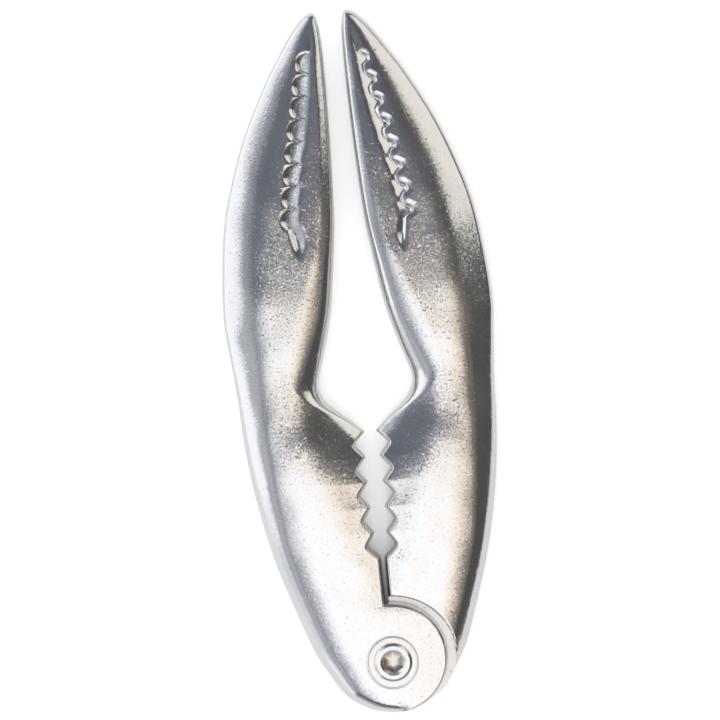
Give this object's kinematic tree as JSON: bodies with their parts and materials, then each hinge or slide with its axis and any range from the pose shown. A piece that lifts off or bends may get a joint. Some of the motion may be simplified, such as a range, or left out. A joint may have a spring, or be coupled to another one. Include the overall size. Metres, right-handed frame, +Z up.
{
  "type": "nutcracker",
  "caption": "Claw-shaped hand cracker: two cast arms with facing teeth, lapped at a round knuckle on a hex-socket pivot.",
  "frame": {"origin": "where the pivot axis meets the plane that the tool lies on, at the barrel nut's flat back", "axes": "+Y from the pivot to the claw tips, +Z up through the front face along the pivot axis, +X towards the right arm"},
  "size_m": [0.071, 0.1854, 0.013],
  "materials": {
    "cast_aluminium": "satin",
    "bright_steel": "gloss",
    "nylon": "satin"
  },
  "bodies": {
    "left_half": {"left_arm": "cast_aluminium", "pivot_screw": "bright_steel", "barrel_nut": "bright_steel", "front_washer": "bright_steel", "back_washer": "bright_steel", "spacer_washer": "nylon"},
    "right_half": {"right_arm": "cast_aluminium"}
  },
  "joints": [
    {"name": "pivot", "type": "hinge", "parent": "left_half", "child": "right_half", "pos_m": [0, 0, 0.006], "axis": [0, 0, -1], "range_deg": [-1.7, 150]}
  ]
}
